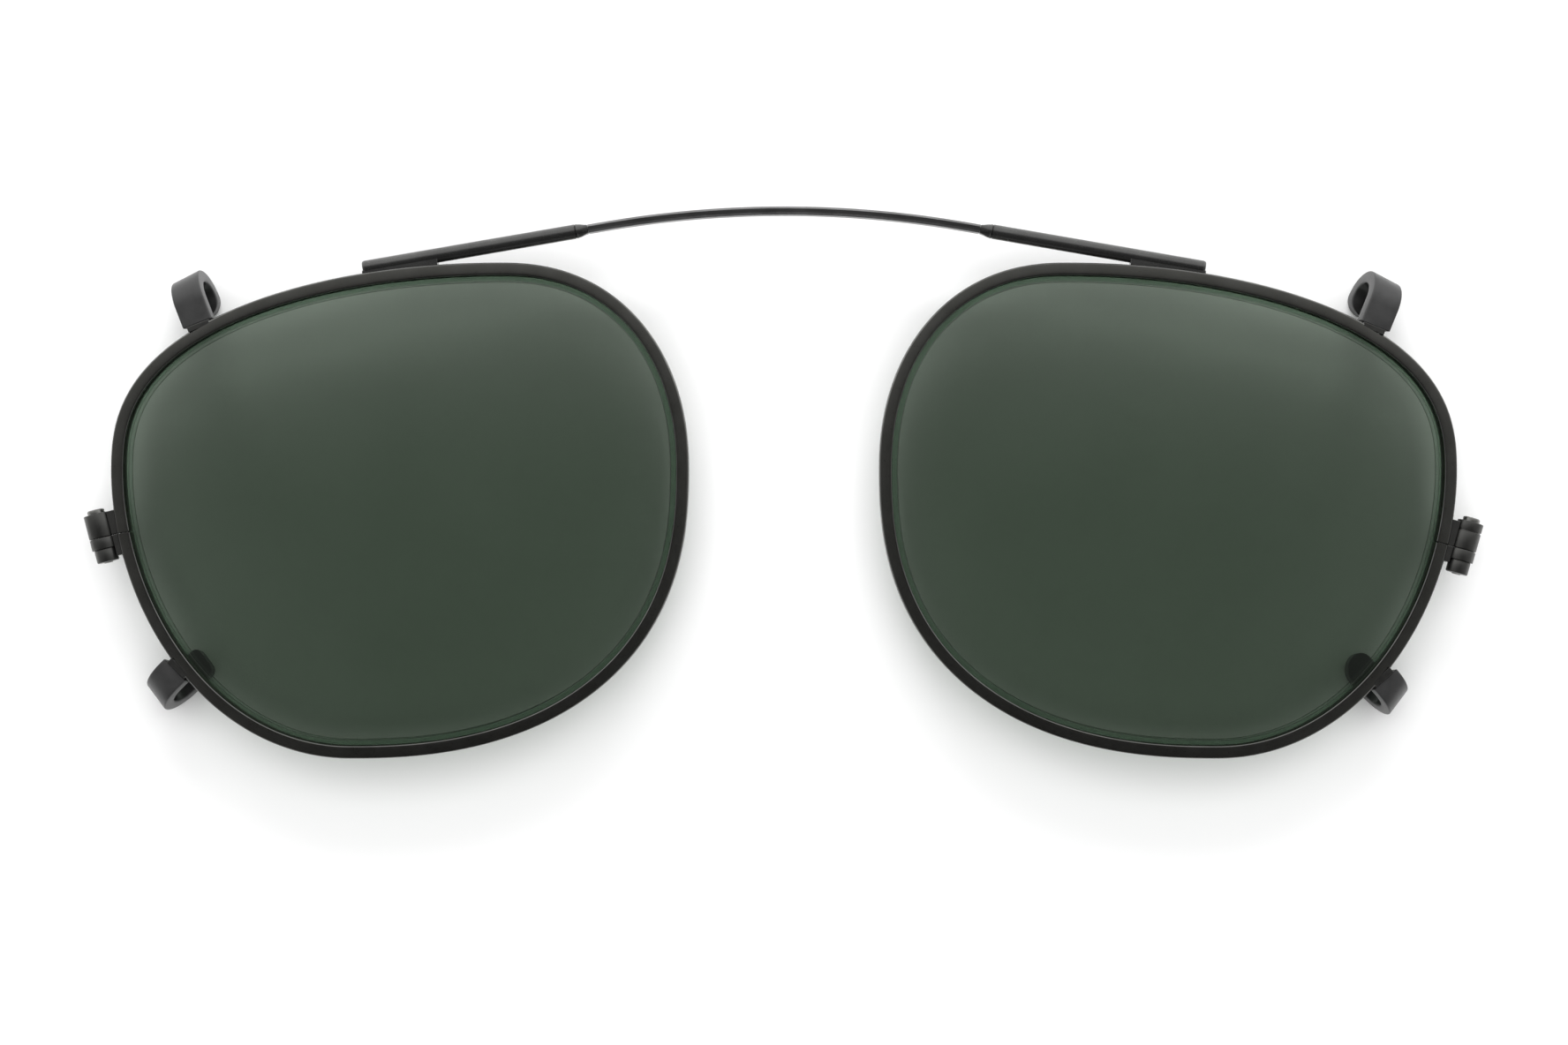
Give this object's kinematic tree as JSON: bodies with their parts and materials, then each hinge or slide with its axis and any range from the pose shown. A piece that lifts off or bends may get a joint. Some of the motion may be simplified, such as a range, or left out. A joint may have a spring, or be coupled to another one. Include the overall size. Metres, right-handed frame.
{
  "type": "clip-on sunglasses",
  "caption": "Clip-on sunglasses with tinted lenses in metal eyewires, a sprung sliding bridge bow, and plastic-sleeved hooks that grip spectacles.",
  "frame": {"origin": "centre of the bounding box at the surface that the hooks rest on", "axes": "+X to the right seen from the front, +Y towards the brow bow, +Z out of the lens fronts"},
  "size_m": [0.1325, 0.0521, 0.0075],
  "materials": {
    "eyewire_metal": "satin gunmetal plating",
    "lens_tint": "polished grey-green tint",
    "bow_steel": "drawn spring wire, dark bright finish",
    "spring_steel": "bright spring wire",
    "tube_metal": "satin gunmetal plating",
    "hook_steel": "dark plated strip",
    "sleeve_plastic": "satin smoke-grey soft plastic",
    "block_metal": "satin gunmetal plating",
    "screw_steel": "bright turned steel"
  },
  "bodies": {
    "bridge": {"bridge_bow": "bow_steel", "rod_stop_left": "bow_steel", "rod_stop_right": "bow_steel", "spring_left": "spring_steel", "spring_right": "spring_steel"},
    "left_half": {"nose_collar_left": "tube_metal", "tube_left": "tube_metal", "end_plug_left": "tube_metal", "tube_saddle_left": "tube_metal", "rim_left": "eyewire_metal", "lens_left": "lens_tint", "hook_upper_left": "hook_steel", "hook_lower_left": "hook_steel", "sleeve_upper_left": "sleeve_plastic", "sleeve_lower_left": "sleeve_plastic", "closing_block_upper_left": "block_metal", "closing_block_lower_left": "block_metal", "closing_screw_left": "screw_steel"},
    "right_half": {"nose_collar_right": "tube_metal", "tube_right": "tube_metal", "end_plug_right": "tube_metal", "tube_saddle_right": "tube_metal", "rim_right": "eyewire_metal", "lens_right": "lens_tint", "hook_upper_right": "hook_steel", "hook_lower_right": "hook_steel", "sleeve_upper_right": "sleeve_plastic", "sleeve_lower_right": "sleeve_plastic", "closing_block_upper_right": "block_metal", "closing_block_lower_right": "block_metal", "closing_screw_right": "screw_steel"}
  },
  "joints": [
    {"name": "left_slide", "type": "slide", "parent": "bridge", "child": "left_half", "axis": [-0.9854, -0.1702, 0], "range_m": [0, 0.005], "stiffness_N_per_m": 300, "springref_m": -0.005, "deforming": ["spring_left"]},
    {"name": "right_slide", "type": "slide", "parent": "bridge", "child": "right_half", "axis": [0.9854, -0.1702, 0], "range_m": [0, 0.005], "stiffness_N_per_m": 300, "springref_m": -0.005, "deforming": ["spring_right"]}
  ]
}
